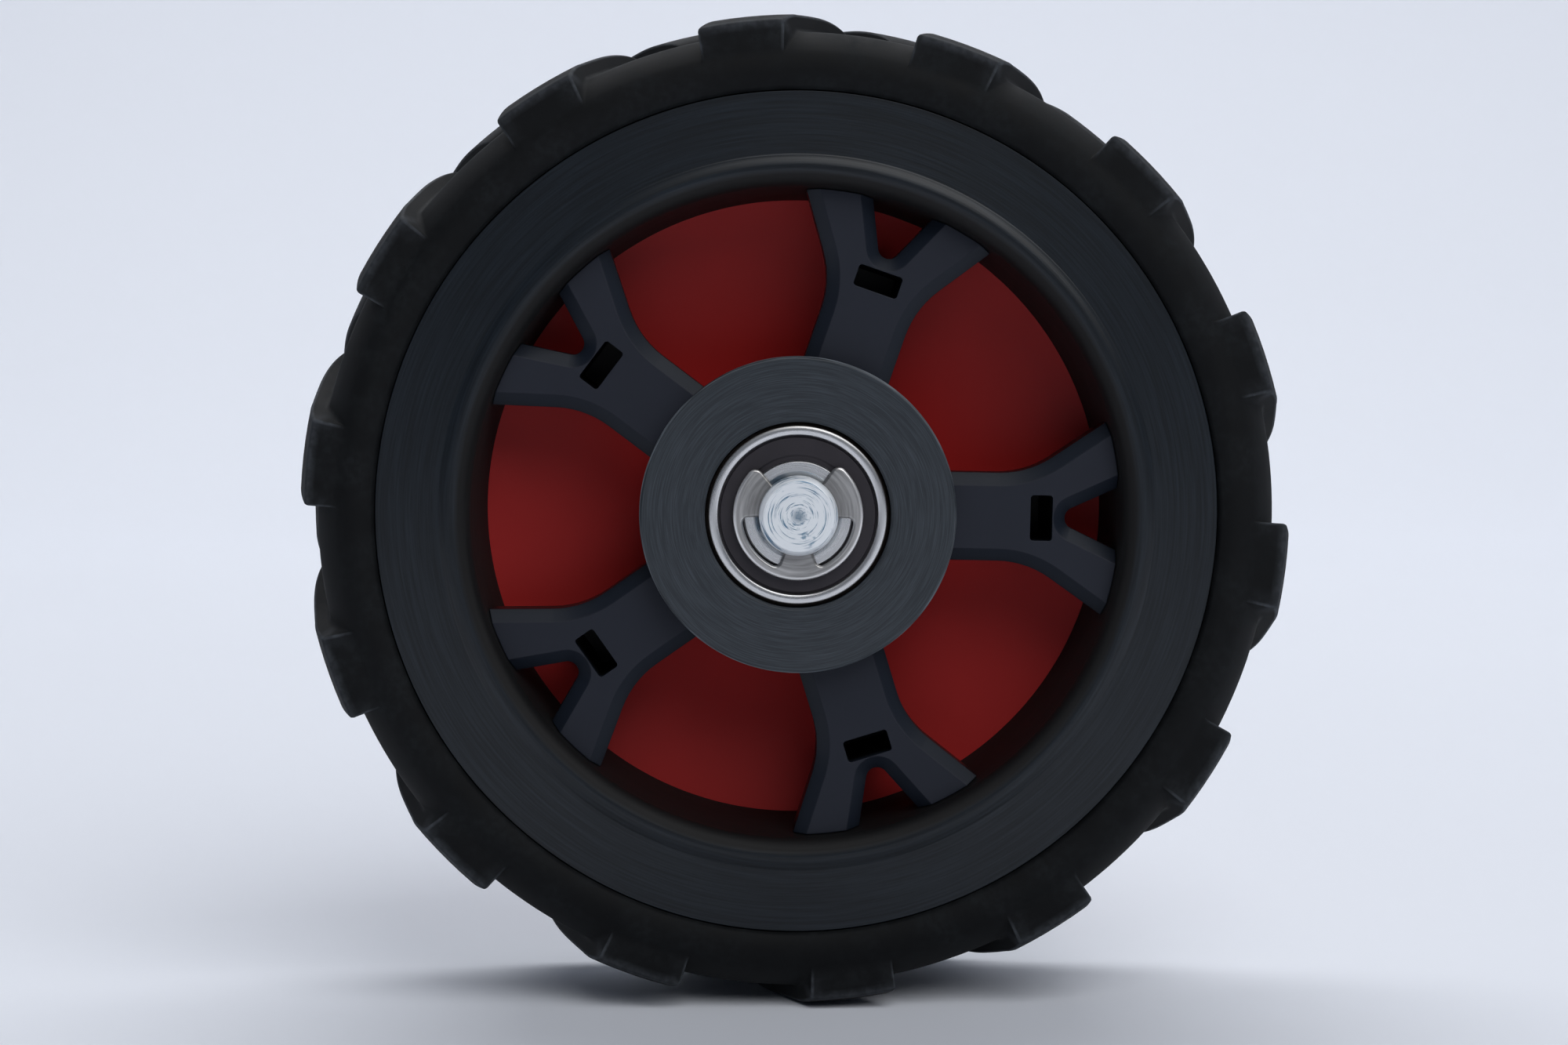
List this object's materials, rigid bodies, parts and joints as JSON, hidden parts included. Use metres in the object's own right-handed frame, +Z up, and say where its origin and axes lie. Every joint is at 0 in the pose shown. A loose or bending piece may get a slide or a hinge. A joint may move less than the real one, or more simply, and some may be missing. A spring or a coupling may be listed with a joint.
{
  "type": "wheel",
  "caption": "Garden machine wheel with a lugged rubber tire, spoked cover over a red dished disc, ball bearings and a stub axle.",
  "frame": {"origin": "wheel's centre: on the spin axis, at the tire's middle plane", "axes": "+Y along the spin axis, inboard, the way the stub axle leaves; +Z up with the wheel upright; -Y is the outboard face"},
  "size_m": [0.216, 0.0932, 0.216],
  "materials": {
    "tire_rubber": "moulded matt black rubber",
    "rim_plastic": "satin black moulding",
    "red_plastic": "satin dark red moulding",
    "spoke_plastic": "satin blue-grey moulding",
    "turned_metal": "dark anodised, turned in fine rings",
    "bearing_steel": "ground bearing steel",
    "seal_rubber": "moulded black seal",
    "cage_plastic": "natural polyamide",
    "zinc_steel": "zinc plated, turned end",
    "spring_steel": "stamped spring steel",
    "plain_steel": "drawn tube, cut square"
  },
  "bodies": {
    "axle": {"axle": "zinc_steel", "e_clip": "spring_steel", "spacer_sleeve": "plain_steel", "outboard_bearing_inner_ring": "bearing_steel", "inboard_bearing_inner_ring": "bearing_steel"},
    "wheel": {"tire": "tire_rubber", "rim": "rim_plastic", "dish_disc": "red_plastic", "spoke_cover": "spoke_plastic", "hub": "turned_metal", "outboard_bearing_outer_ring": "bearing_steel", "inboard_bearing_outer_ring": "bearing_steel", "outboard_bearing_front_seal": "seal_rubber", "inboard_bearing_front_seal": "seal_rubber", "outboard_bearing_rear_seal": "seal_rubber", "inboard_bearing_rear_seal": "seal_rubber"},
    "outboard_ball_set": {"outboard_bearing_balls": "bearing_steel", "outboard_bearing_cage": "cage_plastic"},
    "inboard_ball_set": {"inboard_bearing_balls": "bearing_steel", "inboard_bearing_cage": "cage_plastic"}
  },
  "joints": [
    {"name": "wheel_spin", "type": "hinge", "parent": "axle", "child": "wheel", "pos_m": [0, 0, 0], "axis": [0, 1, 0], "continuous": true},
    {"name": "outboard_ball_set_spin", "type": "hinge", "parent": "axle", "child": "outboard_ball_set", "pos_m": [0, 0, 0], "axis": [0, 1, 0], "continuous": true},
    {"name": "inboard_ball_set_spin", "type": "hinge", "parent": "axle", "child": "inboard_ball_set", "pos_m": [0, 0, 0], "axis": [0, 1, 0], "continuous": true}
  ],
  "couplings": [
    {"joint": "outboard_ball_set_spin", "follows": "wheel_spin", "ratio": 0.6184},
    {"joint": "inboard_ball_set_spin", "follows": "wheel_spin", "ratio": 0.6184}
  ]
}
